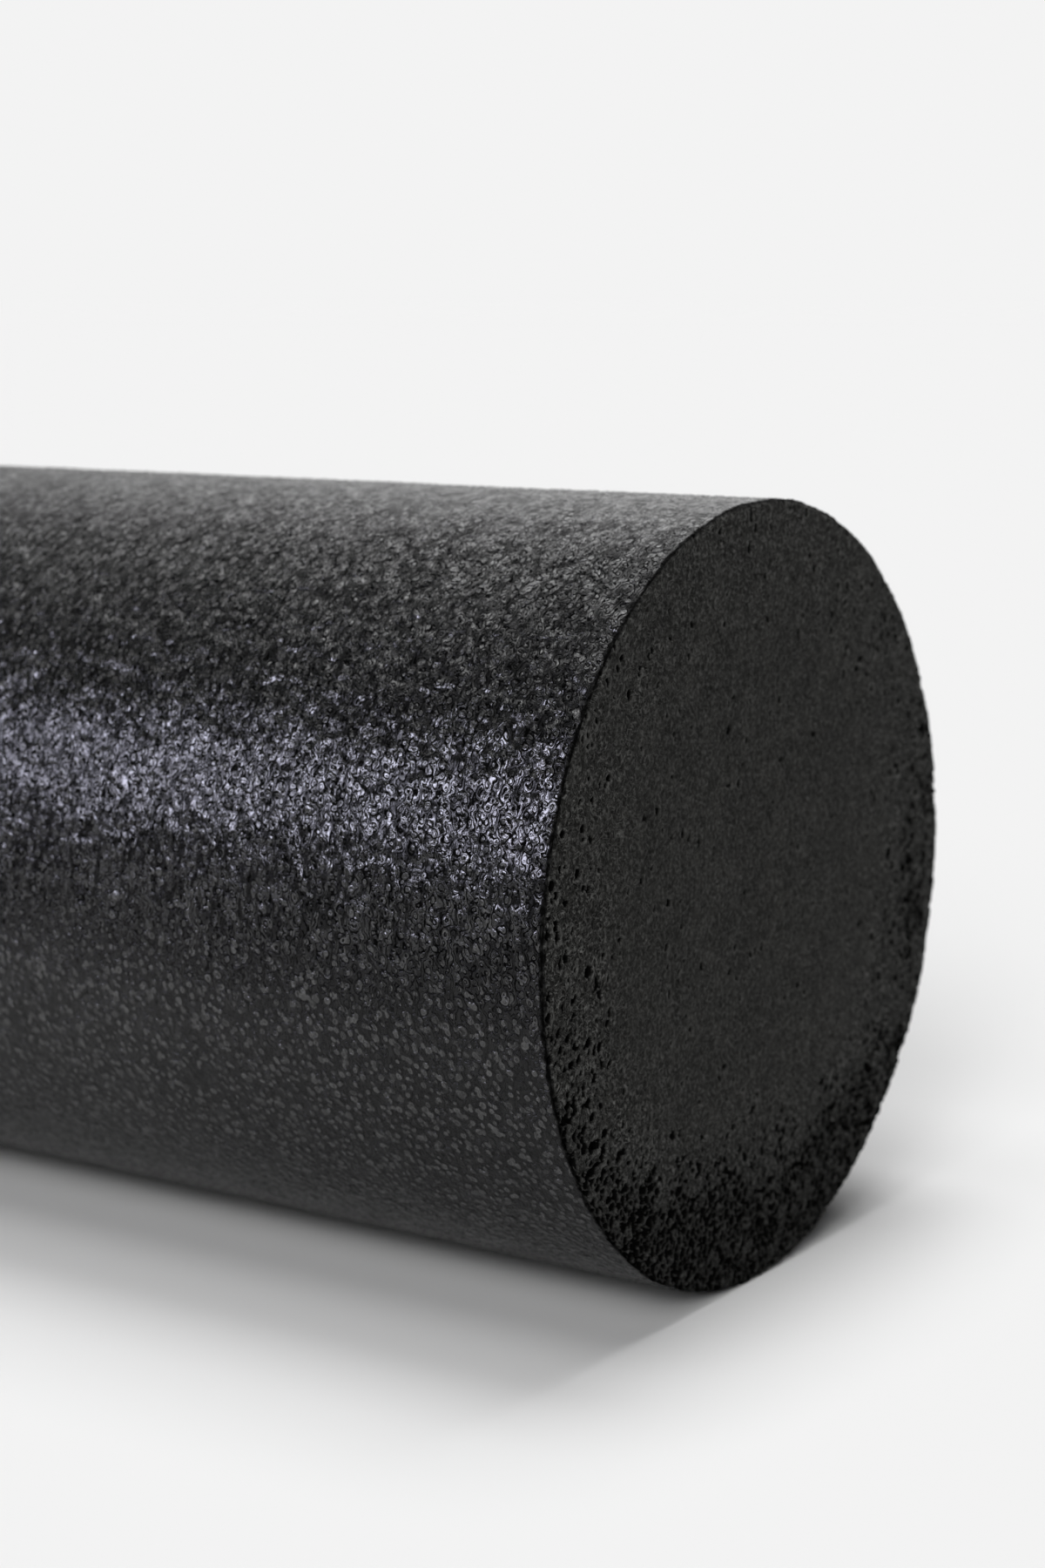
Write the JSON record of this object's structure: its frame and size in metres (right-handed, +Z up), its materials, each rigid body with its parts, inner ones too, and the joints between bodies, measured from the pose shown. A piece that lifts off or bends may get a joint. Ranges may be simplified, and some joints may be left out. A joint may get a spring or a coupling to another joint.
{
  "type": "foam roller",
  "caption": "Solid cylindrical foam roller moulded from fused black beads, with a glossy pebbled barrel and flat matt end faces, for rolling out muscles.",
  "frame": {"origin": "middle of the roller's own axis, halfway between the end faces", "axes": "+X along the roller's axis towards the right end face, +Z up with the roller lying on its side on a floor at z = -0.075 m, +Y away from a viewer in front"},
  "size_m": [0.45, 0.15, 0.15],
  "materials": {
    "bead_core_foam": "matte",
    "barrel_skin_gloss": "satin",
    "end_skin_matt": "matte"
  },
  "bodies": {
    "root": {"bead_core": "bead_core_foam", "barrel_skin": "barrel_skin_gloss", "left_end_skin": "end_skin_matt", "right_end_skin": "end_skin_matt"}
  },
  "joints": []
}
